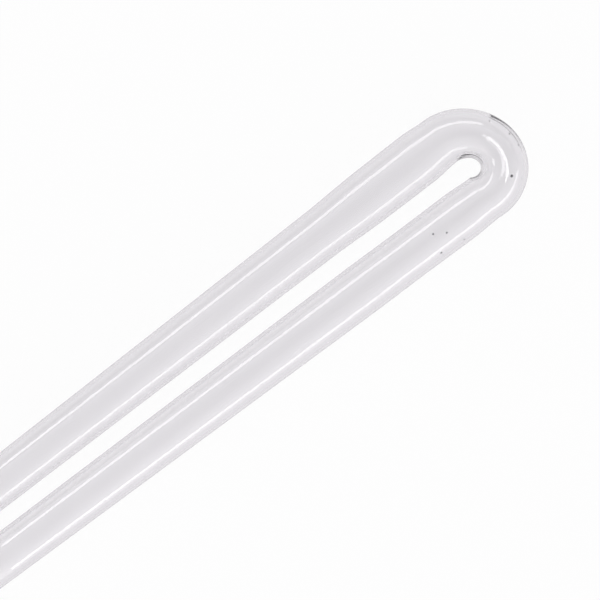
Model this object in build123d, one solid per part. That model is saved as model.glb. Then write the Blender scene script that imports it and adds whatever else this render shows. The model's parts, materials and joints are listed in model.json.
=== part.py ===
from build123d import *
import math
import os

# A clear quartz germicidal lamp: a discharge tube bent to a U, sealed at both ends by flat pinches,
# cemented into a ceramic base with four contact pins in a row. It lies on its side, as it comes to rest.
# While it is modelled, X runs along the legs from the base's pin face to the bend, Y runs across
# the two legs (leg a at +Y, leg b at -Y) and Z is square to both. All sizes are in millimetres.

# Discharge tube
tube_diameter = 15.0
tube_wall = 1.0
leg_pitch = 20.0
glass_reach = 385.0

# Bend, worked by hand: towards its top it is flattened in its own plane, drawn out and leaning to leg b,
# and its wall gets thicker on the inside and thinner on the outside
bend_flat = 1.05
bend_stretch = 0.55
bend_lean = 0.9
bend_inner_wall = 1.4
bend_outer_wall = 0.8

# Nub on the side of leg a where the tube was pumped out and sealed
nub_diameter = 5.0
nub_top_diameter = 1.6
nub_height = 3.2
nub_above_base = 9.0

# Pinch seals: each leg's end is pressed flat while soft
pinch_thickness = 3.2
pinch_length = 7.2
pinch_taper = 3.6
pinch_slit = 1.0

# Leads, foils and electrode coils
lead_diameter = 0.6
lead_spread = 8.0
lead_bend_inset = 0.75
foil_width = 2.6
foil_length = 5.8
foil_thickness = 0.05
foil_overlap = 1.4
clamp_length = 1.1
clamp_width = 0.7
clamp_height = 0.9
coil_wire = 0.3
coil_diameter = 1.9
coil_ridge = 0.16
coil_turns = 9
coil_turn_pitch = 0.66
coil_above_base = 17.0
coil_tail_past_clamp = 0.3

# Ceramic base
base_width = 43.5
base_thickness = 22.0
base_height = 25.0
base_corner = 7.5
base_edge = 1.2
base_floor = 5.0
plug_height = 9.0
plug_inset = 1.2
plug_edge = 0.8
notch_height = 2.6
notch_depth = 1.5
notch_from_face = 2.0

# Cement between a leg and its well
cement_gap = 0.75
cement_recess = 0.4

# Contact pins
pin_diameter = 2.35
pin_reach = 6.6
pin_pitch = 11.0
pin_tip_edge = 0.5
pin_root_diameter = 2.8
pin_head_diameter = 3.6
pin_head_height = 0.6
pin_bore_clearance = 0.05
lead_short_of_pin_tip = 0.3

# Room below the pinch for the bent outer leads
lead_room = 3.0

# Mercury beads that cling to the bore. Those in leg b start so far back from the bend's centre and lie
# about a step apart.
bead_large = 0.85
bead_medium = 0.5
bead_small = 0.4
bead_from_bend = 11.8
bead_step = 3.4
bead_clearance = 0.08

tube_radius = tube_diameter / 2
bore_radius = tube_radius - tube_wall
lead_radius = lead_diameter / 2
wire_sides = 8
bend_sections = 9
well_radius = tube_radius + cement_gap
pin_head_top = base_floor + pin_head_height
pinch_end = pin_head_top + lead_room
pinch_top = pinch_end + pinch_length
round_from = pinch_top + pinch_taper
legs = {"a": leg_pitch / 2, "b": -leg_pitch / 2}
bend_centre = base_height + glass_reach - leg_pitch / 2 - bend_stretch - tube_radius + bend_flat


def bend_oval(turn):
    """Cross-section of the tube at this share of the way round the bend: its middle, the way out from
    the bend's centre, and its half width in the plane of the bend."""
    angle = math.pi * turn
    rise = math.sin(angle) ** 2
    outward = Vector(math.sin(angle), math.cos(angle), 0)
    radius = leg_pitch / 2 + bend_stretch * rise - bend_lean * math.sin(2 * angle) * math.sin(angle)
    return Vector(bend_centre, 0, 0) + outward * radius, outward, tube_radius - bend_flat * rise


def bend_bore_oval(turn):
    """The same for the bore."""
    middle, outward, half_width = bend_oval(turn)
    rise = math.sin(math.pi * turn) ** 2
    inner = tube_wall + (bend_inner_wall - tube_wall) * rise
    outer = tube_wall + (bend_outer_wall - tube_wall) * rise
    return middle + outward * ((inner - outer) / 2), outward, half_width - (inner + outer) / 2


def bend_form(oval, half_height):
    """The bend, lofted through ovals from leg a to leg b."""
    sections = []
    for step in range(bend_sections):
        middle, outward, half_width = oval(step / (bend_sections - 1))
        across = Plane(origin=middle, x_dir=outward, z_dir=outward.cross(Vector(0, 0, 1)))
        sections.append(across * scale(Circle(1), by=(half_width, half_height, 1)))
    return loft(sections)


def along_x(start, y):
    """Plane square to the legs, with its own x across the legs."""
    return Plane(origin=(start, y, 0), x_dir=(0, 1, 0), z_dir=(1, 0, 0))


def leg_form(y, radius, end, flat_thickness):
    """A leg as a round rod up to the bend, with its end pressed flat from above and below."""
    rod = extrude(along_x(end, y) * Circle(radius), bend_centre - end)
    pressed = Polyline(
        (pinch_end, flat_thickness / 2),
        (pinch_top, flat_thickness / 2),
        (round_from, radius),
        (round_from, tube_diameter),
        (pinch_end, tube_diameter),
        close=True,
    )
    cutter = Pos(0, y, 0) * extrude(Plane.XZ * make_face(pressed), tube_diameter, both=True)
    return rod - cutter - mirror(cutter, Plane.XY)


def tip_off_nub():
    """Sealed end of the exhaust tube, a small blunt cone on the outer side of leg a."""
    root = tube_radius - tube_wall / 2
    profile = Polyline(
        (0, root),
        (nub_diameter / 2, root),
        (nub_top_diameter / 2, tube_radius + nub_height),
        (0, tube_radius + nub_height),
        close=True,
    )
    return Pos(base_height + nub_above_base, legs["a"], 0) * revolve(make_face(profile), Axis.Y)


def coil_tail():
    """Where the straight tails of a coil run: how far along the leg, and how high."""
    return base_height + coil_above_base, 0.0


def wire_section(radius):
    """Cross-section of a thin wire, near enough round, with a flat above and below."""
    return RegularPolygon(radius, wire_sides, major_radius=False, rotation=180 / wire_sides)


def inner_lead(y, side):
    """Wire from the foil into the tube, with its end folded into a clamp round the coil's tail."""
    start = pinch_top - (pinch_length - foil_length) / 2 - foil_overlap
    tail_x, tail_z = coil_tail()
    lead_y = y + side * lead_spread / 2
    wire = extrude(along_x(start, lead_y) * wire_section(lead_radius), tail_x - start)
    clamp = Pos(tail_x, lead_y, tail_z) * Box(clamp_length, clamp_width, clamp_height)
    tail_plane = Plane(origin=(tail_x, lead_y, tail_z), x_dir=(1, 0, 0), z_dir=(0, 1, 0))
    return wire + clamp - extrude(tail_plane * wire_section(coil_wire / 2), clamp_width, both=True)


def outer_lead(y, side):
    """Wire from the foil out of the pinch, bent over to its pin and on to the pin's tip."""
    start = pinch_end + (pinch_length - foil_length) / 2 + foil_overlap
    lead_y = y + side * lead_spread / 2
    pin_y = y + side * pin_pitch / 2
    path = Polyline(
        (start, lead_y, 0),
        (pinch_end - lead_bend_inset, lead_y, 0),
        (pin_head_top + lead_bend_inset, pin_y, 0),
        (lead_short_of_pin_tip - pin_reach, pin_y, 0),
    )
    section = along_x(start, lead_y) * wire_section(lead_radius)
    return sweep(section, path=path, transition=Transition.RIGHT)


def seal_foil(y, side):
    """Foil in the middle of the pinch, just under the two wires that are welded to it."""
    middle = (pinch_end + pinch_top) / 2
    foil_z = -lead_radius - foil_thickness / 2
    return Pos(middle, y + side * lead_spread / 2, foil_z) * Box(foil_length, foil_width, foil_thickness)


def electrode_coil(y):
    """Closely wound coil across the leg, coated until its turns show as ridges, with a tail at each end."""
    tail_x, tail_z = coil_tail()
    length = coil_turns * coil_turn_pitch
    root = coil_diameter / 2 - coil_ridge
    rings = []
    for half_turn in range(2 * coil_turns + 1):
        radius = coil_diameter / 2 if half_turn % 2 else root
        rings.append(Pos(0, 0, half_turn * coil_turn_pitch / 2) * wire_section(radius))
    coil = loft(rings, ruled=True)
    tail_off = root - coil_wire
    tail = (lead_spread + clamp_width - length) / 2 + coil_tail_past_clamp
    for tail_from in (-tail, length):
        coil += extrude(Pos(-tail_off, 0, tail_from) * wire_section(coil_wire / 2), tail)
    seat = Plane(origin=(tail_x + tail_off, y - length / 2, tail_z), x_dir=(1, 0, 0), z_dir=(0, 1, 0))
    return seat.location * coil


def contact_pin(y, side):
    """Hollow pin: a head inside the base, a thick root through its floor and a shank with a bevelled tip."""
    pin_y = y + side * pin_pitch / 2
    radius = pin_diameter / 2
    profile = Polyline(
        (-pin_reach, 0),
        (-pin_reach, radius - pin_tip_edge),
        (pin_tip_edge - pin_reach, radius),
        (0, radius),
        (0, pin_root_diameter / 2),
        (base_floor, pin_root_diameter / 2),
        (base_floor, pin_head_diameter / 2),
        (pin_head_top, pin_head_diameter / 2),
        (pin_head_top, 0),
        close=True,
    )
    pin = Pos(0, pin_y, 0) * revolve(make_face(profile), Axis.X)
    bore = along_x(-pin_reach, pin_y) * wire_section(lead_radius + pin_bore_clearance)
    return pin - extrude(bore, pin_reach + pin_head_top)


def base_housing():
    """Ceramic base: a block with a stepped plug, a well for each leg, pin holes and two latch notches."""
    block_face = along_x(plug_height, 0) * RectangleRounded(base_width, base_thickness, base_corner)
    block = extrude(block_face, base_height - plug_height)
    block = chamfer(block.faces().sort_by(Axis.X)[-1].edges(), base_edge)
    plug_width = base_width - 2 * plug_inset
    plug_thickness = base_thickness - 2 * plug_inset
    plug_face = along_x(0, 0) * RectangleRounded(plug_width, plug_thickness, base_corner - plug_inset)
    plug = extrude(plug_face, plug_height)
    plug = chamfer(plug.faces().sort_by(Axis.X)[0].edges(), plug_edge)
    housing = block + plug
    for side in (-1, 1):
        notch = Box(notch_height, 2 * notch_depth, base_thickness)
        housing -= Pos(notch_from_face + notch_height / 2, side * plug_width / 2, 0) * notch
    for y in legs.values():
        well = extrude(along_x(base_floor, y) * Circle(well_radius), base_height - base_floor)
        housing -= well
        for side in (-1, 1):
            hole_face = along_x(0, y + side * pin_pitch / 2) * Circle(pin_root_diameter / 2)
            housing -= extrude(hole_face, base_floor)
    return housing


def base_cement(y):
    """Ring of cement between the round foot of a leg and its well, just short of the well's mouth."""
    ring = along_x(round_from, y) * (Circle(well_radius) - Circle(tube_radius))
    return extrude(ring, base_height - cement_recess - round_from)


def bead(size):
    """A small round bead with flat facets."""
    radius = size / 2
    facet = radius * (1 - math.tan(math.pi / 8))
    barrel = extrude(RegularPolygon(radius, 8, major_radius=False), radius, both=True)
    return chamfer(barrel.faces().filter_by(Axis.Z).edges(), facet)


def mercury_beads():
    """Beads that cling to the lower wall of the bore, some round the bend and some down leg b. Each is
    placed by its share of the way round the bend, or by steps down leg b, then by how far it lies off
    the tube's middle as a share of the bore, and its diameter."""
    round_bend = [(0.36, 0.865, bead_small), (0.5, 0.935, bead_medium)]
    round_bend += [(0.58, 0.985, bead_small), (0.766, 0.375, bead_large)]
    down_leg_b = [(0, 0.985, bead_small), (1, 0.29, bead_medium)]
    down_leg_b += [(2, -0.06, bead_medium), (2.25, 0.915, bead_small)]
    places = []
    for turn, off, size in round_bend:
        places.append((*bend_bore_oval(turn), off, size))
    for steps, off, size in down_leg_b:
        middle = Vector(bend_centre - bead_from_bend - bead_step * steps, legs["b"], 0)
        places.append((middle, Vector(0, -1, 0), bore_radius, off, size))
    beads = []
    for middle, outward, half_width, off, size in places:
        clock = math.acos(off)
        wall = Vector(half_width * math.cos(clock), -bore_radius * math.sin(clock))
        inward = Vector(-math.cos(clock) / half_width, math.sin(clock) / bore_radius).normalized()
        seat = wall + inward * (size / 2 + bead_clearance)
        beads.append(Pos(middle + outward * seat.X + Vector(0, 0, seat.Y)) * bead(size))
    return Compound(beads)


# Build the pieces where they sit in the lamp
pieces = {}
ends = [(leg, y, number, side) for leg, y in legs.items() for number, side in (("1", 1), ("2", -1))]
for leg, y, number, side in ends:
    outer_side = side * math.copysign(1, y)
    pieces["inner_lead_" + leg + number] = inner_lead(y, outer_side)
    pieces["seal_foil_" + leg + number] = seal_foil(y, outer_side)
    pieces["outer_lead_" + leg + number] = outer_lead(y, outer_side)
    pieces["contact_pin_" + leg + number] = contact_pin(y, outer_side)

glass_form = bend_form(bend_oval, tube_radius)
glass_bore = bend_form(bend_bore_oval, bore_radius)
for y in legs.values():
    glass_form += leg_form(y, tube_radius, pinch_end, pinch_thickness)
    glass_bore += leg_form(y, bore_radius, pinch_top, pinch_slit)
glass_form += tip_off_nub()
tube = glass_form - glass_bore
for name in [name for name in pieces if name.startswith(("inner_lead", "seal_foil", "outer_lead"))]:
    tube -= pieces[name]
pieces["discharge_tube"] = tube
pieces["mercury_beads"] = mercury_beads()
pieces["base_housing"] = base_housing()
for leg, y in legs.items():
    pieces["electrode_coil_" + leg] = electrode_coil(y)
    pieces["base_cement_" + leg] = base_cement(y)

# Lay the lamp down: it rests on the base's edge and on the lowest point of the bend
rest_edge = base_height - base_edge
bend_top = bend_centre + leg_pitch / 2 + bend_stretch
rest_tilt = math.atan2(base_thickness / 2 - tube_radius, bend_top - rest_edge)
tilted = Rot(0, math.degrees(rest_tilt), 0)
laid = {name: tilted * piece for name, piece in pieces.items()}
box = Compound([solid for piece in laid.values() for solid in piece.solids()]).bounding_box()
to_origin = Pos(-(box.min.X + box.max.X) / 2, -(box.min.Y + box.max.Y) / 2, -box.min.Z)

os.makedirs("parts", exist_ok=True)
for name, piece in laid.items():
    placed = to_origin * piece
    placed.label = name
    export_step(placed, os.path.join("parts", name + ".step"))
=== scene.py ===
import bpy
import bmesh
import json
import math
from collections import namedtuple
from mathutils import Matrix, Vector, noise


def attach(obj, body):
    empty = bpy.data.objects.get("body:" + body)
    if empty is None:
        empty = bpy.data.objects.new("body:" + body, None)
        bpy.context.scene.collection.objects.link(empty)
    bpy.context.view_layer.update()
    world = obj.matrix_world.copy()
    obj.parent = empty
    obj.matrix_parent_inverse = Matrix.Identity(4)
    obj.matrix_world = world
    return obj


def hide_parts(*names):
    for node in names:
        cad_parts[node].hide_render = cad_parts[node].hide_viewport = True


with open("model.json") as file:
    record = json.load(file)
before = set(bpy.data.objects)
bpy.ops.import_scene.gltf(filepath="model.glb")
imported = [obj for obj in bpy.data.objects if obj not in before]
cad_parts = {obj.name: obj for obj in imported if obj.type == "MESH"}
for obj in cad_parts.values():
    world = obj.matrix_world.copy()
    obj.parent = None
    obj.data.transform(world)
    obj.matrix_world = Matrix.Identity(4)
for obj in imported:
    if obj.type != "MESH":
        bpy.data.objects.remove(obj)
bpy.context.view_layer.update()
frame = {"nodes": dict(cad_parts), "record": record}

# Sizes are in millimetres, in the lamp's own frame: X along the legs from the base's pin face to the bend, Y
# across the legs, Z square to both. Angles are in degrees. LEAD_Y and PIN_Y count from a leg's middle line.
MM = 0.001

# Glass: round legs, a U bend, and a flat pinch at each foot
TUBE_RADIUS = 7.5
TUBE_WALL = 1.0
BORE_RADIUS = TUBE_RADIUS - TUBE_WALL
LEG_Y = 10.0
TIP_X = 410.0
BEND_REACH = 17.0
BEND_X = TIP_X - BEND_REACH
PINCH_END_X = 8.6
PINCH_TOP_X = 15.8
ROUND_FROM_X = 19.4
PINCH_HALF = 1.6
SLIT_HALF = 0.5

# Legs near the bend: both narrow towards it, and before that leg a swells and leg b is a little slim
NARROW_A = 0.17
NARROW_B = 0.62
NARROW_FADE = 9.0
SWELL_A = 0.45
SWELL_B = -0.2
SWELL_END = 45.0
SWELL_FADE = 20.0

# Bend: drawn out, leaning to leg b and flattened, with a thicker wall inside and a thinner wall outside
BEND_STRETCH = 0.55
BEND_LEAN = 0.74
BEND_FLAT = 0.65
INNER_WALL_GAIN = 0.4
OUTER_WALL_LOSS = 0.2

# Fine folds inside the bend, up to a share of the way round it, and faint drawing marks on the outside
FOLD_DEPTH = 0.045
FOLD_COUNT = 34
FOLD_FALLOFF = 4
FOLD_END = 0.72
FOLD_FADE = 0.25
DRAW_DEPTH = 0.006
DRAW_ALONG = 0.02
DRAW_ACROSS = 0.12

# Nub on leg a, where the exhaust tube was sealed off
NUB_X = 34.0
NUB_RADIUS = 2.6
NUB_HEIGHT = 3.1
NUB_POINT = 1.25

# Mesh of the glass: points on its outside crowd to the inside of the U, and rings crowd to the nub
GLASS_SIDES = 160
SIDE_CROWDING = 0.5
BEND_STEPS = 72
NUB_FROM_X = 30.0
NUB_TO_X = 38.0
NUB_STEP = 0.3
FOOT_END_X = 31.0
FOOT_STEP = 0.6
NEAR_BEND = 50.0
NEAR_BEND_STEP = 1.5
PLAIN_STEP = 12.0
LAST_STEP = 0.4

# Mercury beads: place as a share of the bend or back from it, share of the bore outward, and diameter
BEADS_ROUND_BEND = ((0.36, 0.865, 0.36), (0.5, 0.935, 0.46), (0.58, 0.985, 0.42), (0.766, 0.375, 0.85))
BEADS_DOWN_LEG_B = ((11.8, 0.998, 0.46), (15.2, 0.29, 0.50), (18.6, -0.06, 0.50), (19.5, 0.905, 0.56))
BEAD_SEAT = 0.36
BEAD_SQUASH = (1.04, 1, 0.78, 1)
BEAD_FINENESS = 3

# Dark film on the bore's wall, which draws a dark line along the bend's outer edge: start and length as
# shares of the bend, and edges in degrees off the bore's outer line
FILM_FROM = 0.345
FILM_RUN = 0.275
FILM_STEPS = 32
FILM_ACROSS = 8
FILM_TOP = 22.0
FILM_TOP_END = 1.0
FILM_TAPER = 1.6
FILM_BOTTOM = 7.0
FILM_RIM = 0.5
FILM_OPENS = 0.08
FILM_CLOSES = 0.3
FILM_HALF = 0.03

# Coil of finely coiled wire across each leg, with a thicker straight core in each of its tails
COIL_X = 42.0
COIL_OFF = 0.49
COIL_TURNS = 9
COIL_PITCH = 0.66
COIL_RADIUS = 0.72
FINE_TURNS = 16
FINE_STEPS = 7
FINE_RADIUS = 0.15
FINE_WIRE = 0.055
FINE_SIDES = 6
TAIL_FROM = 3.4
TAIL_TO = 4.65
CORE_FROM = 3.2
CORE_TO = 4.6
CORE_RADIUS = 0.14
CORE_SIDES = 12

# Wires that carry the coil. The clamp's round nose and its jaw are given from the coil's tail.
LEAD_Y = 4.0
LEAD_FOOT_X = 13.7
LEAD_TOP_X = 41.6
LEAD_RADIUS = 0.3
LEAD_SIDES = 20
NOSE_X = 0.12
NOSE_LENGTH = 0.42
NOSE_HEIGHT = 0.44
NOSE_STEPS = 16
CLAMP_JAW = ((-0.52, 0.40), (-0.55, 0.06), (-0.30, 0.05))
CLAMP_HALF = 0.35
LEAD_SHARP = 40

# Pins, as places along X and radii from the head inside the base to the mouth
PIN_Y = 5.5
PIN_RADIUS = 1.175
PIN_BORE = 0.36
PIN_HEAD = ((5.6, PIN_BORE), (5.6, 1.8), (5.0, 1.8), (5.0, 1.4))
PIN_SHOULDER = ((0.03, 1.4), (-0.02, 1.36), (-0.02, 1.24), (-0.06, 1.19), (-0.12, PIN_RADIUS))
PIN_GROOVE = ((-2.9, PIN_RADIUS), (-3.0, 1.165), (-3.1, PIN_RADIUS))
PIN_TIP = ((-6.0, PIN_RADIUS), (-6.1, 1.165), (-6.2, 1.12), (-6.5, 0.80), (-6.57, 0.72), (-6.6, 0.62))
PIN_MOUTH = ((-6.6, 0.46), (-6.56, 0.40), (-6.46, PIN_BORE))
PIN_SIDES = 48
PIN_SHARP = 50

# Base: a block with a smaller plug at the pins. An inset is how far it is set in from its widest outline.
BASE_WIDTH = 43.5
BASE_HEIGHT = 22.0
BASE_TOP_X = 25.0
BASE_CORNER = 7.5
CORNER_STEPS = 16
PIN_FACE_INSET = 2.2
PLUG_INSET = 1.2
PLUG_ROUND = 0.8
PLUG_ROUND_STEPS = 6
PLUG_PLAIN_X = 1.6
PLUG_FILLET = ((8.6, PLUG_INSET), (8.85, 1.12), (8.97, 0.95), (9.0, 0.7), (9.0, 0.45))
BLOCK_X = 9.0
BLOCK_ROUND = 0.4
BLOCK_ROUND_STEPS = 4
BLOCK_PLAIN_X = (10.4, 22.8)
TOP_ROUND = 1.2
TOP_ROUND_STEPS = 8
TOP_INSET = 1.6
WELD = 0.0005
BASE_SHARP = 35

# What is cut out of the base: wells and pin holes, as places along X and radii, and latch notches
WELL = ((5.0, 8.25), (24.55, 8.25), (24.75, 8.30), (24.9, 8.42), (25.0, 8.65), (26.0, 8.65))
WELL_SIDES = 96
PIN_HOLE = ((-1.0, 1.75), (0.0, 1.75), (0.12, 1.52), (0.3, 1.42), (6.0, 1.42))
PIN_HOLE_SIDES = 40
NOTCH_X = 3.3
NOTCH_Y = 20.55
NOTCH_SIZE = (2.6, 3.0, 24.0)
NOTCH_ROUND = 0.35
NOTCH_ROUND_STEPS = 4

# Cement round each leg, with a dished and lumpy front
CEMENT_SIDES = 120
CEMENT_ROWS = 8
CEMENT_CLEARANCE = 0.03
CEMENT_WIDTH = 0.70
CEMENT_DEPTH = 0.38
CEMENT_DISH = 0.22
LUMP_HEIGHT = 0.10
LUMP_SCALE = 4.0
LUMP_DRIFT = 1.5
CEMENT_SHARP = 50

# Stage, in metres: how much the floor glows to the camera and through glass, and where the lights point
FLOOR_HALF = 3.0
FLOOR_GLOW_SEEN = 0.95
FLOOR_GLOW_THROUGH = 0.85
KEY_STRENGTH = 1.3
KEY_SPREAD = 60
KEY_FROM = (0.0, 0.45, 0.89)
STRIP_AIM = (0.13, 0, 0.01)
STUDIO_DARK_SIDE = (0.35, 0.94, 0.0)

# Camera, aimed at a point of the lamp's frame from so many metres away
VIEW_TARGET = (TIP_X - 77.5, -1.6, 0)
VIEW_DISTANCE = 0.323
VIEW_LEAN = 15
VIEW_ROLL = 37.2
VIEW_SENSOR = 36.0
VIEW_LENS = 66.24


# The lamp's place

def axes_at(place, x, y, z):
    """Matrix that puts three axes at a place."""
    return Matrix.Translation(place) @ Matrix((x, y, z)).transposed().to_4x4()


def find_lamp():
    """Matrix from the lamp's frame to the row's, found from the row's pin mounts."""
    mounts = {mount["name"]: mount for mount in frame["record"]["mounts"]}
    pin_a = mounts["pin_a1"]
    pin_b = mounts["pin_b1"]
    half_length = pin_a["dims"]["length_mm"] / 2
    x = -Vector(pin_a["axis"]).normalized()
    y = Vector((0, 1, 0))
    origin = (Vector(pin_a["pos_m"]) + Vector(pin_b["pos_m"])) / 2 + x * half_length * MM
    return axes_at(origin, x, y, x.cross(y)) @ Matrix.Scale(MM, 4)


lamp_to_row = find_lamp()


# Meshes

def ease(value):
    """Goes smoothly from 0 to 1 as the value does, and stays there outside."""
    value = min(1.0, max(0.0, value))
    return value * value * (3 - 2 * value)


def clocks(sides):
    """Angles of so many even steps round a circle."""
    return [2 * math.pi * step / sides for step in range(sides)]


def circle(x, y, radius, sides):
    """Ring of points round the line along X at y."""
    return [Vector((x, y + radius * math.cos(clock), radius * math.sin(clock))) for clock in clocks(sides)]


def new_loops(mesh, rings):
    """Adds the points of a row of rings to a mesh."""
    return [[mesh.verts.new(point) for point in ring] for ring in rings]


def join_loops(mesh, loops, flip=False):
    """Adds the faces between neighbours in a row of loops."""
    for near, far in zip(loops, loops[1:]):
        for step in range(len(near)):
            after = (step + 1) % len(near)
            corners = [near[step], near[after], far[after], far[step]]
            mesh.faces.new(corners[::-1] if flip else corners)


def add_shell(mesh, rings, flip=False):
    """Closes a row of rings into one shell."""
    loops = new_loops(mesh, rings)
    join_loops(mesh, loops, flip)
    for loop, turned in ((loops[0], not flip), (loops[-1], flip)):
        middle = mesh.verts.new(sum((vert.co for vert in loop), Vector()) / len(loop))
        for step in range(len(loop)):
            corners = [loop[step], loop[(step + 1) % len(loop)], middle]
            mesh.faces.new(corners[::-1] if turned else corners)


def add_band(mesh, rings):
    """Joins a row of rings, and its last ring to its first."""
    loops = new_loops(mesh, rings)
    join_loops(mesh, loops + loops[:1])
    bmesh.ops.recalc_face_normals(mesh, faces=mesh.faces)


def add_wire(mesh, path, radius, sides):
    """Adds a round wire along a row of points."""
    rings = []
    side = (path[1] - path[0]).normalized().orthogonal().normalized()
    for index, point in enumerate(path):
        ahead = (path[min(index + 1, len(path) - 1)] - path[max(index - 1, 0)]).normalized()
        side = (side - ahead * side.dot(ahead)).normalized()
        up = ahead.cross(side)
        ring = [point + (side * math.cos(clock) + up * math.sin(clock)) * radius for clock in clocks(sides)]
        rings.append(ring)
    add_shell(mesh, rings)


def put(name, data):
    """Adds an object with this data to the scene."""
    thing = bpy.data.objects.new(name, data)
    bpy.context.scene.collection.objects.link(thing)
    return thing


def finish_piece(name, mesh, nodes, sharp=None):
    """Turns a mesh in the lamp's frame into a piece that rides on the lamp."""
    mesh.transform(lamp_to_row)
    data = bpy.data.meshes.new(name)
    mesh.to_mesh(data)
    mesh.free()
    data.shade_smooth()
    if sharp:
        data.set_sharp_from_angle(angle=math.radians(sharp))
    piece = put(name, data)
    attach(piece, "root")
    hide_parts(*nodes)
    return piece


# Glass tube

# A station is a middle, the way outward in the plane of the U, the half widths and the half heights of the
# outside and of the bore, the bore's shift outward, and how much the inside of the bend is folded
Station = namedtuple("Station", "middle outward wide bore_wide high bore_high shift folded")


def leg_station(x, side):
    """Station at x on leg a, where side is 1, or on leg b, where it is -1."""
    back = BEND_X - x
    narrow = NARROW_A if side > 0 else NARROW_B
    swell = SWELL_A if side > 0 else SWELL_B
    at_bend = TUBE_RADIUS - narrow
    before = TUBE_RADIUS + swell * ease((SWELL_END - back) / SWELL_FADE)
    wide = at_bend + (before - at_bend) * ease(back / NARROW_FADE)
    flat = ease((ROUND_FROM_X - x) / (ROUND_FROM_X - PINCH_TOP_X))
    high = TUBE_RADIUS + (PINCH_HALF - TUBE_RADIUS) * flat
    bore_high = BORE_RADIUS + (SLIT_HALF - BORE_RADIUS) * flat
    middle = Vector((x, side * LEG_Y, 0))
    return Station(middle, Vector((0, side, 0)), wide, wide - TUBE_WALL, high, bore_high, 0.0, 0.0)


def bend_station(turn):
    """Station at this share of the way round the bend, from leg a to leg b."""
    angle = math.pi * turn
    rise = math.sin(angle)
    outward = Vector((rise, math.cos(angle), 0))
    radius = LEG_Y + BEND_STRETCH * rise - BEND_LEAN * math.sin(2 * angle)
    middle = Vector((BEND_X, 0, 0)) + outward * radius
    wide = TUBE_RADIUS - (NARROW_A + (NARROW_B - NARROW_A) * turn) - BEND_FLAT * rise
    inner = TUBE_WALL + INNER_WALL_GAIN * rise
    outer = TUBE_WALL - OUTER_WALL_LOSS * rise
    bore_wide = wide - (inner + outer) / 2
    shift = (inner - outer) / 2
    folded = ease(turn / FOLD_FADE) * ease((FOLD_END - turn) / FOLD_FADE)
    return Station(middle, outward, wide, bore_wide, TUBE_RADIUS, BORE_RADIUS, shift, folded)


def leg_places(start):
    """Places of a leg's stations, far apart only between the nub and the bend."""
    places = []
    x = start
    while x < BEND_X - LAST_STEP:
        places.append(x)
        if NUB_FROM_X < x < NUB_TO_X:
            x += NUB_STEP
        elif x < FOOT_END_X:
            x += FOOT_STEP
        elif x > BEND_X - NEAR_BEND:
            x += NEAR_BEND_STEP
        else:
            x += PLAIN_STEP
    return places


def stations(start):
    """Stations from leg a's foot round the bend to leg b's."""
    places = leg_places(start)
    leg_a = [leg_station(x, 1) for x in places]
    bend = [bend_station(step / BEND_STEPS) for step in range(BEND_STEPS + 1)]
    leg_b = [leg_station(x, -1) for x in reversed(places)]
    return leg_a + bend + leg_b


def nub(point):
    """How far the glass stands out at the sealed end of the exhaust tube, on the outer side of leg a."""
    away = math.hypot(point.x - NUB_X, point.z) / NUB_RADIUS
    if point.y < LEG_Y or away >= 1:
        return 0.0
    return NUB_HEIGHT * (1 - ease(away)) ** NUB_POINT


def outer_ring(station):
    """Outside of the glass at a station, with folds, drawing marks and the nub."""
    ring = []
    for even in clocks(GLASS_SIDES):
        clock = even + SIDE_CROWDING * math.sin(even)
        inward = max(0.0, -math.cos(clock))
        off_inward = math.asin(math.sin(clock))
        fold = FOLD_DEPTH * station.folded * inward ** FOLD_FALLOFF * math.cos(FOLD_COUNT * off_inward)
        across = (station.wide + fold) * math.cos(clock)
        point = station.middle + station.outward * across + Vector((0, 0, station.high * math.sin(clock)))
        spot = Vector((point.x * DRAW_ALONG, point.y * DRAW_ACROSS, point.z * DRAW_ACROSS))
        draw = DRAW_DEPTH * noise.noise(spot)
        point += (point - station.middle).normalized() * draw
        point.y += nub(point)
        ring.append(point)
    return ring


def bore_point(station, clock, deep=0.0):
    """Point on the bore's wall, at an angle up from its outer side, or so deep in the glass behind it."""
    across = station.shift + (station.bore_wide + deep) * math.cos(clock)
    up = (station.bore_high + deep) * math.sin(clock)
    return station.middle + station.outward * across + Vector((0, 0, up))


def bore_ring(station):
    """Wall of the bore at a station."""
    return [bore_point(station, clock) for clock in clocks(GLASS_SIDES)]


def make_tube():
    """One piece of glass: its outside, and its bore as a shell that is turned inside out."""
    mesh = bmesh.new()
    add_shell(mesh, [outer_ring(station) for station in stations(PINCH_END_X)])
    add_shell(mesh, [bore_ring(station) for station in stations(PINCH_TOP_X)], flip=True)
    if mesh.calc_volume(signed=True) < 0:
        bmesh.ops.reverse_faces(mesh, faces=mesh.faces)
    return finish_piece("quartz_tube", mesh, ["discharge_tube"])


# Mercury beads, and a dark film, on the wall of the bore

def add_beads(mesh):
    """Adds beads, mostly on the underside."""
    beads = [(bend_station(turn), off, size) for turn, off, size in BEADS_ROUND_BEND]
    beads += [(leg_station(BEND_X - back, -1), off, size) for back, off, size in BEADS_DOWN_LEG_B]
    for station, off, size in beads:
        wall = bore_point(station, -math.acos(off))
        inward = (station.middle - wall).normalized()
        place = Matrix.Translation(wall + inward * size * BEAD_SEAT)
        turn = inward.to_track_quat("Z", "Y").to_matrix().to_4x4()
        squat = place @ turn @ Matrix.Diagonal(BEAD_SQUASH)
        bmesh.ops.create_icosphere(mesh, subdivisions=BEAD_FINENESS, radius=size / 2, matrix=squat)


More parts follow.
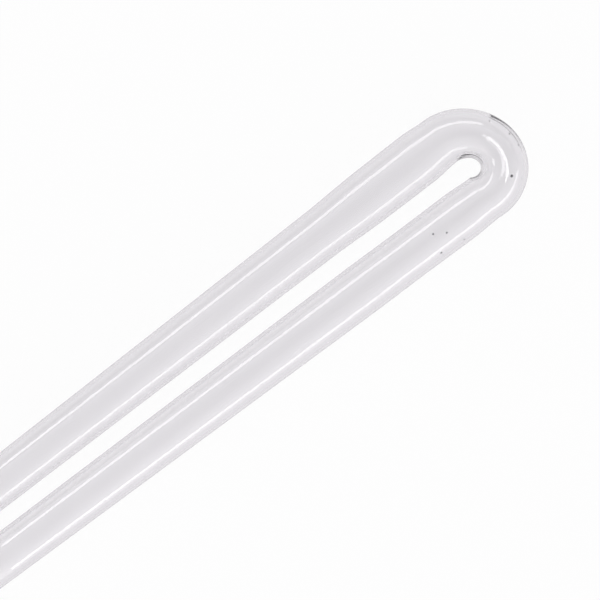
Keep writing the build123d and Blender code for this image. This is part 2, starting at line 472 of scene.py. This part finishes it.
def add_film(mesh):
    """Adds a dark film on the outer side of the bend, broad at its start and tapering, which draws a dark
    line along the bend's outer edge.
    """
    rings = []
    for step in range(FILM_STEPS + 1):
        share = step / FILM_STEPS
        station = bend_station(FILM_FROM + FILM_RUN * share)
        opening = ease(share / FILM_OPENS)
        closing = ease((1 - share) / FILM_CLOSES)
        top = math.radians((FILM_TOP * (1 - share) ** FILM_TAPER + FILM_TOP_END) * opening + FILM_RIM)
        bottom = math.radians(-FILM_BOTTOM * opening * closing - FILM_RIM)
        across = [bottom + (top - bottom) * place / FILM_ACROSS for place in range(FILM_ACROSS + 1)]
        ring = [bore_point(station, clock, FILM_HALF) for clock in across]
        ring += [bore_point(station, clock, -FILM_HALF) for clock in reversed(across)]
        rings.append(ring)
    add_shell(mesh, rings)


def make_beads_and_dark_film():
    """The mercury beads and the dark film along the bend's outer edge, as one piece."""
    mesh = bmesh.new()
    add_beads(mesh)
    add_film(mesh)
    bmesh.ops.recalc_face_normals(mesh, faces=mesh.faces)
    return finish_piece("mercury_beads_and_dark_film", mesh, ["mercury_beads"])


# Electrodes and pins

def make_coil(leg, y):
    """Coiled coil of fine wire across the leg, with a straight tail at each end."""
    steps = COIL_TURNS * FINE_TURNS * FINE_STEPS
    path = [Vector((COIL_X, y - off, 0)) for off in (TAIL_TO, TAIL_FROM)]
    for step in range(steps + 1):
        share = step / steps
        large = 2 * math.pi * COIL_TURNS * share + math.pi
        fine = 2 * math.pi * COIL_TURNS * FINE_TURNS * share
        radial = Vector((math.cos(large), 0, math.sin(large)))
        axis = Vector((COIL_X + COIL_OFF, y + (share - 0.5) * COIL_TURNS * COIL_PITCH, 0))
        wound = radial * math.cos(fine) + Vector((0, math.sin(fine), 0))
        path.append(axis + radial * COIL_RADIUS + wound * FINE_RADIUS)
    path += [Vector((COIL_X, y + off, 0)) for off in (TAIL_FROM, TAIL_TO)]
    mesh = bmesh.new()
    add_wire(mesh, path, FINE_WIRE, FINE_SIDES)
    for ends in ((-CORE_TO, -CORE_FROM), (CORE_FROM, CORE_TO)):
        add_wire(mesh, [Vector((COIL_X, y + off, 0)) for off in ends], CORE_RADIUS, CORE_SIDES)
    return finish_piece("tungsten_coil_" + leg, mesh, ["electrode_coil_" + leg])


def make_inner_lead(end, y):
    """Round wire that carries the coil, with its flattened end folded over the coil's tail."""
    mesh = bmesh.new()
    add_wire(mesh, [Vector((x, y, 0)) for x in (LEAD_FOOT_X, LEAD_TOP_X)], LEAD_RADIUS, LEAD_SIDES)
    nose = [math.pi * (step / NOSE_STEPS - 0.5) for step in range(NOSE_STEPS + 1)]
    outline = [(NOSE_X + NOSE_LENGTH * math.cos(clock), NOSE_HEIGHT * math.sin(clock)) for clock in nose]
    outline += CLAMP_JAW
    outline += [(x, -z) for x, z in reversed(CLAMP_JAW)]
    faces = (y - CLAMP_HALF, y + CLAMP_HALF)
    add_shell(mesh, [[Vector((COIL_X + x, face, z)) for x, z in outline] for face in faces])
    bmesh.ops.recalc_face_normals(mesh, faces=mesh.faces)
    return finish_piece("coil_lead_" + end, mesh, ["inner_lead_" + end], LEAD_SHARP)


def make_pin(end, y):
    """Hollow pin with a head, a shoulder, a groove round it and a rounded tip."""
    profile = PIN_HEAD + PIN_SHOULDER + PIN_GROOVE + PIN_TIP + PIN_MOUTH
    mesh = bmesh.new()
    add_band(mesh, [circle(x, y, radius, PIN_SIDES) for x, radius in profile])
    return finish_piece("pin_" + end, mesh, ["contact_pin_" + end], PIN_SHARP)


# Base and cement

def make_cement(leg, y):
    """Ring of cement with a hollow, slightly lumpy front."""
    inside = TUBE_RADIUS + CEMENT_CLEARANCE
    rings = []
    for row in range(CEMENT_ROWS + 1):
        share = row / CEMENT_ROWS
        hollow = math.sin(math.pi * share)
        ring = circle(BASE_TOP_X, y, inside + CEMENT_WIDTH * share, CEMENT_SIDES)
        for point, clock in zip(ring, clocks(CEMENT_SIDES)):
            spot = Vector((math.cos(clock), math.sin(clock), 0)) * LUMP_SCALE
            spot.z = share * LUMP_DRIFT + y
            lump = LUMP_HEIGHT * noise.noise(spot)
            point.x = BASE_TOP_X - CEMENT_DEPTH - CEMENT_DISH * hollow + lump * hollow
        rings.append(ring)
    rings += [circle(ROUND_FROM_X, y, radius, CEMENT_SIDES) for radius in (inside + CEMENT_WIDTH, inside)]
    mesh = bmesh.new()
    add_band(mesh, rings)
    return finish_piece("cement_" + leg, mesh, ["base_cement_" + leg], CEMENT_SHARP)


def base_outline(x, inset):
    """Outline of the base at x, with this inset."""
    corner = BASE_CORNER - inset
    ring = []
    for quarter, (side_y, side_z) in enumerate(((1, 1), (-1, 1), (-1, -1), (1, -1))):
        for step in range(CORNER_STEPS + 1):
            clock = math.pi / 2 * (quarter + step / CORNER_STEPS)
            y = side_y * (BASE_WIDTH / 2 - BASE_CORNER) + corner * math.cos(clock)
            z = side_z * (BASE_HEIGHT / 2 - BASE_CORNER) + corner * math.sin(clock)
            ring.append(Vector((x, y, z)))
    return ring


def rounded_edge(radius, steps):
    """Points round an edge, as distances from the face that they leave and from the face that they reach."""
    turns = [math.pi / 2 * step / steps for step in range(steps + 1)]
    return [(radius - radius * math.cos(turn), radius - radius * math.sin(turn)) for turn in turns]


def base_profile():
    """Places along the base and their insets, from the pin face to the face with the wells."""
    profile = [(0.0, PIN_FACE_INSET)]
    profile += [(x, PLUG_INSET + inset) for x, inset in rounded_edge(PLUG_ROUND, PLUG_ROUND_STEPS)[1:]]
    profile.append((PLUG_PLAIN_X, PLUG_INSET))
    profile += PLUG_FILLET
    profile += [(BLOCK_X + x, inset) for x, inset in rounded_edge(BLOCK_ROUND, BLOCK_ROUND_STEPS)[1:]]
    profile += [(x, 0.0) for x in BLOCK_PLAIN_X]
    profile += [(BASE_TOP_X - x, inset) for x, inset in reversed(rounded_edge(TOP_ROUND, TOP_ROUND_STEPS))]
    profile.append((BASE_TOP_X, TOP_INSET))
    return profile


def add_body(mesh):
    """Adds the block and its plug."""
    loops = new_loops(mesh, [base_outline(x, inset) for x, inset in base_profile()])
    join_loops(mesh, loops)
    mesh.faces.new(loops[0])
    mesh.faces.new(loops[-1])


def add_wells(mesh):
    """Adds what is cut out for the legs."""
    for y in (LEG_Y, -LEG_Y):
        add_shell(mesh, [circle(x, y, radius, WELL_SIDES) for x, radius in WELL])


def add_pin_holes(mesh):
    """Adds what is cut out for the pins."""
    for y in (LEG_Y + PIN_Y, LEG_Y - PIN_Y, PIN_Y - LEG_Y, -PIN_Y - LEG_Y):
        add_shell(mesh, [circle(x, y, radius, PIN_HOLE_SIDES) for x, radius in PIN_HOLE])


def add_notches(mesh):
    """Adds what is cut out for the holder's latches, with its upright edges rounded."""
    for side in (1, -1):
        place = Matrix.Translation((NOTCH_X, side * NOTCH_Y, 0)) @ Matrix.Diagonal((*NOTCH_SIZE, 1))
        made = bmesh.ops.create_cube(mesh, size=1, matrix=place)
        edges = dict.fromkeys(edge for vert in made["verts"] for edge in vert.link_edges)
        upright = [edge for edge in edges if edge.verts[0].co.z != edge.verts[1].co.z]
        bmesh.ops.bevel(mesh, geom=upright, offset=NOTCH_ROUND, segments=NOTCH_ROUND_STEPS, affect="EDGES")


def raw_object(add):
    """Object in the lamp's frame, to cut or to be cut, from a function that adds its shape to a mesh."""
    mesh = bmesh.new()
    add(mesh)
    bmesh.ops.recalc_face_normals(mesh, faces=mesh.faces)
    data = bpy.data.meshes.new("raw")
    mesh.to_mesh(data)
    mesh.free()
    return put("raw", data)


def make_housing():
    """Pressed ceramic base with rounded edges, a stepped plug, wells, pin holes and latch notches."""
    body = raw_object(add_body)
    cutters = [raw_object(add) for add in (add_wells, add_pin_holes, add_notches)]
    for cutter in cutters:
        cut = body.modifiers.new("cut", "BOOLEAN")
        cut.operation = "DIFFERENCE"
        cut.solver = "EXACT"
        cut.object = cutter
    bpy.context.view_layer.update()
    data = bpy.data.meshes.new_from_object(body.evaluated_get(bpy.context.evaluated_depsgraph_get()))
    for used in [body] + cutters:
        bpy.data.objects.remove(used)
    mesh = bmesh.new()
    mesh.from_mesh(data)
    bmesh.ops.remove_doubles(mesh, verts=mesh.verts, dist=WELD)
    return finish_piece("ceramic_base", mesh, ["base_housing"], BASE_SHARP)


# Materials

def new_material(name):
    """A new material, its nodes, its links and its main shader."""
    material = bpy.data.materials.new(name)
    material.use_nodes = True
    nodes = material.node_tree.nodes
    return material, nodes, material.node_tree.links, nodes["Principled BSDF"]


def set_inputs(node, values):
    """Sets inputs of a node by their names."""
    for name, value in values.items():
        node.inputs[name].default_value = value


def textured(nodes, links, kind, scale, stretch=(1, 1, 1)):
    """A texture on the object's own coordinates, at so many repeats a metre."""
    place = nodes.new("ShaderNodeTexCoord")
    mapping = nodes.new("ShaderNodeMapping")
    mapping.inputs["Scale"].default_value = [scale * value for value in stretch]
    texture = nodes.new(kind)
    links.new(place.outputs["Object"], mapping.inputs["Vector"])
    links.new(mapping.outputs["Vector"], texture.inputs["Vector"])
    return texture


def noisy(nodes, links, scale, detail, stretch=(1, 1, 1)):
    """Noise of so much detail, as textured places it."""
    texture = textured(nodes, links, "ShaderNodeTexNoise", scale, stretch)
    texture.inputs["Detail"].default_value = detail
    return texture.outputs["Fac"]


def ramp_to(nodes, links, source, target, low, high, start=0.35, end=0.65):
    """Colours or greys between two values, from a texture."""
    ramp = nodes.new("ShaderNodeValToRGB")
    for stop, place, value in zip(ramp.color_ramp.elements, (start, end), (low, high)):
        stop.position = place
        stop.color = (*value, 1) if isinstance(value, tuple) else (value, value, value, 1)
    links.new(source, ramp.inputs["Fac"])
    links.new(ramp.outputs["Color"], target)


def bump_to(nodes, links, source, shader, distance, strength=1.0):
    """Bumps so many metres deep, from a texture."""
    bump = nodes.new("ShaderNodeBump")
    set_inputs(bump, {"Distance": distance, "Strength": strength})
    links.new(source, bump.inputs["Height"])
    links.new(bump.outputs["Normal"], shader.inputs["Normal"])


def mix_shaders(nodes, links, share, first, second, target):
    """The first shader where the share is 0, and the second where it is 1."""
    mix = nodes.new("ShaderNodeMixShader")
    links.new(share, mix.inputs["Fac"])
    links.new(first, mix.inputs[1])
    links.new(second, mix.inputs[2])
    links.new(mix.outputs["Shader"], target)


def glass_material():
    """Clear quartz with faint streaks along it, darker where it is thick, and with a light shadow."""
    material, nodes, links, shader = new_material("quartz")
    set_inputs(shader, {"Transmission Weight": 1.0, "IOR": 1.458, "Roughness": 0.0})
    streaks = noisy(nodes, links, scale=900, detail=3, stretch=(0.02, 1, 1))
    ramp_to(nodes, links, streaks, shader.inputs["Base Color"], (0.982, 0.981, 0.983), (0.996, 0.995, 0.997))
    bump_to(nodes, links, streaks, shader, distance=0.0000003)
    output = nodes["Material Output"]
    absorb = nodes.new("ShaderNodeVolumeAbsorption")
    set_inputs(absorb, {"Color": (0.505, 0.475, 0.51, 1), "Density": 16})
    links.new(absorb.outputs["Volume"], output.inputs["Volume"])
    clear = nodes.new("ShaderNodeBsdfTransparent")
    set_inputs(clear, {"Color": (0.92, 0.92, 0.925, 1)})
    shadow = nodes.new("ShaderNodeLightPath").outputs["Is Shadow Ray"]
    mix_shaders(nodes, links, shadow, shader.outputs["BSDF"], clear.outputs["BSDF"], output.inputs["Surface"])
    return material


def metal_material(name, dark, pale, rough, scale, stretch, depth):
    """Metal with a fine grain in its colour, its roughness and its surface."""
    material, nodes, links, shader = new_material(name)
    set_inputs(shader, {"Metallic": 1.0})
    grain = noisy(nodes, links, scale, detail=4, stretch=stretch)
    ramp_to(nodes, links, grain, shader.inputs["Base Color"], dark, pale)
    ramp_to(nodes, links, grain, shader.inputs["Roughness"], *rough)
    bump_to(nodes, links, grain, shader, distance=depth, strength=0.6)
    return material


def coil_material():
    """Tungsten wire with patches of chalky emitter on it."""
    material, nodes, links, shader = new_material("coated_tungsten")
    patches = noisy(nodes, links, scale=900, detail=5)
    bare = {"Base Color": (0.30, 0.29, 0.28), "Metallic": 1.0, "Roughness": 0.35}
    coated = {"Base Color": (0.80, 0.78, 0.74), "Metallic": 0.0, "Roughness": 0.9}
    for name in bare:
        ramp_to(nodes, links, patches, shader.inputs[name], bare[name], coated[name], start=0.36, end=0.52)
    bump_to(nodes, links, patches, shader, distance=0.00003)
    return material


def ceramic_material():
    """Unglazed pressed ceramic: fine grain, faint clouding and a few darker specks."""
    material, nodes, links, shader = new_material("steatite")
    mix = nodes.new("ShaderNodeMix")
    mix.data_type = "RGBA"
    mix.blend_type = "MULTIPLY"
    set_inputs(mix, {"Factor": 0.5})
    links.new(mix.outputs["Result"], shader.inputs["Base Color"])
    clouds = noisy(nodes, links, scale=110, detail=6)
    ramp_to(nodes, links, clouds, mix.inputs["A"], (0.76, 0.73, 0.68), (0.84, 0.82, 0.78))
    specks = textured(nodes, links, "ShaderNodeTexVoronoi", scale=900).outputs["Distance"]
    ramp_to(nodes, links, specks, mix.inputs["B"], (0.55, 0.52, 0.47), (1, 1, 1), start=0.03, end=0.10)
    grain = noisy(nodes, links, scale=3800, detail=3)
    ramp_to(nodes, links, grain, shader.inputs["Roughness"], 0.55, 0.75)
    bump_to(nodes, links, grain, shader, distance=0.00004, strength=0.7)
    return material


def cement_material():
    """Rough cement, lumpy and uneven in colour."""
    material, nodes, links, shader = new_material("base_cement")
    lumps = noisy(nodes, links, scale=1600, detail=8)
    ramp_to(nodes, links, lumps, shader.inputs["Base Color"], (0.56, 0.52, 0.45), (0.80, 0.77, 0.70))
    ramp_to(nodes, links, lumps, shader.inputs["Roughness"], 0.8, 1.0)
    bump_to(nodes, links, lumps, shader, distance=0.00012)
    return material


def dress(piece, material):
    """Gives a piece this material alone."""
    piece.data.materials.clear()
    piece.data.materials.append(material)


# Stage

def floor_material():
    """White to the eye with a faint shadow, which is stronger where glass or metal shows the floor."""
    material, nodes, links, shader = new_material("pale_floor")
    set_inputs(shader, {"Base Color": (0.72, 0.705, 0.725, 1), "Roughness": 1.0, "Specular IOR Level": 0.0})
    path = nodes.new("ShaderNodeLightPath")
    seen = nodes.new("ShaderNodeMath")
    seen.operation = "MAXIMUM"
    links.new(path.outputs["Is Glossy Ray"], seen.inputs[0])
    links.new(path.outputs["Is Transmission Ray"], seen.inputs[1])
    through = nodes.new("ShaderNodeMath")
    through.operation = "MULTIPLY"
    through.inputs[1].default_value = FLOOR_GLOW_THROUGH
    links.new(seen.outputs["Value"], through.inputs[0])
    share = nodes.new("ShaderNodeMix")
    set_inputs(share, {"B": FLOOR_GLOW_SEEN})
    links.new(path.outputs["Is Camera Ray"], share.inputs["Factor"])
    links.new(through.outputs["Value"], share.inputs["A"])
    tone = nodes.new("ShaderNodeMix")
    tone.data_type = "RGBA"
    set_inputs(tone, {"A": (0.825, 0.807, 0.832, 1), "B": (1, 1, 1, 1)})
    links.new(path.outputs["Is Camera Ray"], tone.inputs["Factor"])
    glow = nodes.new("ShaderNodeEmission")
    links.new(tone.outputs["Result"], glow.inputs["Color"])
    plain = shader.outputs["BSDF"]
    surface = nodes["Material Output"].inputs["Surface"]
    mix_shaders(nodes, links, share.outputs["Result"], plain, glow.outputs["Emission"], surface)
    return material


def make_floor():
    """Pale floor, which shows as white but keeps the lamp's shadow."""
    data = bpy.data.meshes.new("floor")
    corners = [(x * FLOOR_HALF, y * FLOOR_HALF, 0) for x, y in ((-1, -1), (1, -1), (1, 1), (-1, 1))]
    data.from_pydata(corners, [], [(0, 1, 2, 3)])
    data.materials.append(floor_material())
    floor = put("floor", data)


def key_light():
    """Soft light from above, which glass and shiny things don't show."""
    light = bpy.data.lights.new("key", "SUN")
    light.energy = KEY_STRENGTH
    light.angle = math.radians(KEY_SPREAD)
    holder = put("key", light)
    holder.rotation_euler = Vector(KEY_FROM).to_track_quat("Z", "Y").to_euler()
    holder.visible_glossy = False
    holder.visible_transmission = False


def strip_light(name, direction, length, width, distance, watts, through_glass=False):
    """Softbox that only draws its line of light on shiny things, and shows through glass where asked."""
    light = bpy.data.lights.new(name, "AREA")
    light.shape = "RECTANGLE"
    light.size = length
    light.size_y = width
    light.energy = watts
    away = Vector(direction).normalized()
    up = away.cross(Vector((1, 0, 0))).normalized()
    side = up.cross(away).normalized()
    holder = put(name, light)
    holder.matrix_world = axes_at(Vector(STRIP_AIM) + away * distance, side, up, away)
    holder.visible_camera = False
    holder.visible_diffuse = False
    holder.visible_transmission = through_glass


def make_studio():
    """Studio round the lamp: grey, brighter on one side, and white to the camera."""
    world = bpy.data.worlds.new("studio")
    bpy.context.scene.world = world
    world.use_nodes = True
    nodes = world.node_tree.nodes
    links = world.node_tree.links
    place = nodes.new("ShaderNodeTexCoord")
    across = nodes.new("ShaderNodeVectorMath")
    across.operation = "DOT_PRODUCT"
    across.inputs[1].default_value = STUDIO_DARK_SIDE
    links.new(place.outputs["Generated"], across.inputs[0])
    strength = nodes.new("ShaderNodeMapRange")
    set_inputs(strength, {"From Min": 0.1, "From Max": -0.9, "To Min": 0.25, "To Max": 1.8})
    links.new(across.outputs["Value"], strength.inputs["Value"])
    soft = nodes["Background"]
    set_inputs(soft, {"Color": (0.99, 0.985, 1.0, 1)})
    links.new(strength.outputs["Result"], soft.inputs["Strength"])
    white = nodes.new("ShaderNodeBackground")
    set_inputs(white, {"Color": (1, 1, 1, 1)})
    camera = nodes.new("ShaderNodeLightPath").outputs["Is Camera Ray"]
    surface = nodes["World Output"].inputs["Surface"]
    mix_shaders(nodes, links, camera, soft.outputs["Background"], white.outputs["Background"], surface)


def aim_camera():
    """Camera close above the bend, leaning towards it, with the lamp from lower left to upper right."""
    lean = math.radians(VIEW_LEAN)
    roll = math.radians(VIEW_ROLL)
    towards = Vector((math.sin(lean), 0, math.cos(lean)))
    along = Vector((math.cos(lean), 0, -math.sin(lean)))
    across = Vector((0, 1, 0))
    right = along * math.cos(roll) - across * math.sin(roll)
    up = along * math.sin(roll) + across * math.cos(roll)
    turn = lamp_to_row.to_3x3() * (1 / MM)
    eye = lamp_to_row @ Vector(VIEW_TARGET) + turn @ towards * VIEW_DISTANCE
    view = bpy.data.cameras.new("view")
    view.sensor_width = VIEW_SENSOR
    view.lens = VIEW_LENS
    camera = put("view", view)
    camera.matrix_world = axes_at(eye, turn @ right, turn @ up, turn @ towards)
    bpy.context.scene.camera = camera


# The lamp

# The same dark metal dresses the mercury beads and the dark film that draws a line along the bend's outer
# edge.
mercury_and_film_look = metal_material("mercury", dark=(0.05, 0.05, 0.055), pale=(0.14, 0.14, 0.15),
                              rough=(0.05, 0.14), scale=6000, stretch=(1, 1, 1), depth=0.00001)
wire_look = metal_material("nickel_wire", dark=(0.42, 0.41, 0.39), pale=(0.66, 0.64, 0.61),
                           rough=(0.22, 0.42), scale=5000, stretch=(0.05, 1, 1), depth=0.00001)
foil_look = metal_material("molybdenum_foil", dark=(0.46, 0.45, 0.45), pale=(0.62, 0.61, 0.60),
                           rough=(0.25, 0.45), scale=3000, stretch=(0.1, 1, 1), depth=0.00001)
pin_look = metal_material("nickel_plate", dark=(0.60, 0.57, 0.50), pale=(0.76, 0.73, 0.67),
                          rough=(0.16, 0.34), scale=4000, stretch=(1, 0.25, 0.25), depth=0.000012)
coil_look = coil_material()
cement_look = cement_material()

dress(make_tube(), glass_material())
dress(make_beads_and_dark_film(), mercury_and_film_look)
dress(make_housing(), ceramic_material())
for leg, side in (("a", 1), ("b", -1)):
    leg_y = side * LEG_Y
    dress(make_coil(leg, leg_y), coil_look)
    dress(make_cement(leg, leg_y), cement_look)
    for end, way in ((leg + "1", side), (leg + "2", -side)):
        dress(make_inner_lead(end, leg_y + way * LEAD_Y), wire_look)
        dress(make_pin(end, leg_y + way * PIN_Y), pin_look)
        dress(frame["nodes"]["outer_lead_" + end], wire_look)
        dress(frame["nodes"]["seal_foil_" + end], foil_look)

# Floor, lights, studio and camera

make_floor()
key_light()
strip_light("strip_high", (0.10, 0.80, 0.59), length=1.6, width=0.17, distance=0.8, watts=4.2)
strip_light("strip_low", (0.10, -0.94, 0.34), length=1.6, width=0.16, distance=0.8, watts=3.4)
strip_light("strip_end", (0.30, -0.12, 0.94), length=0.15, width=0.40, distance=0.8, watts=1.1,
            through_glass=True)
strip_light("strip_back", (-0.74, 0.25, 0.62), length=0.5, width=0.7, distance=3.0, watts=8.0)
make_studio()
aim_camera()
bpy.context.scene.view_settings.view_transform = "Standard"

bpy.context.view_layer.update()
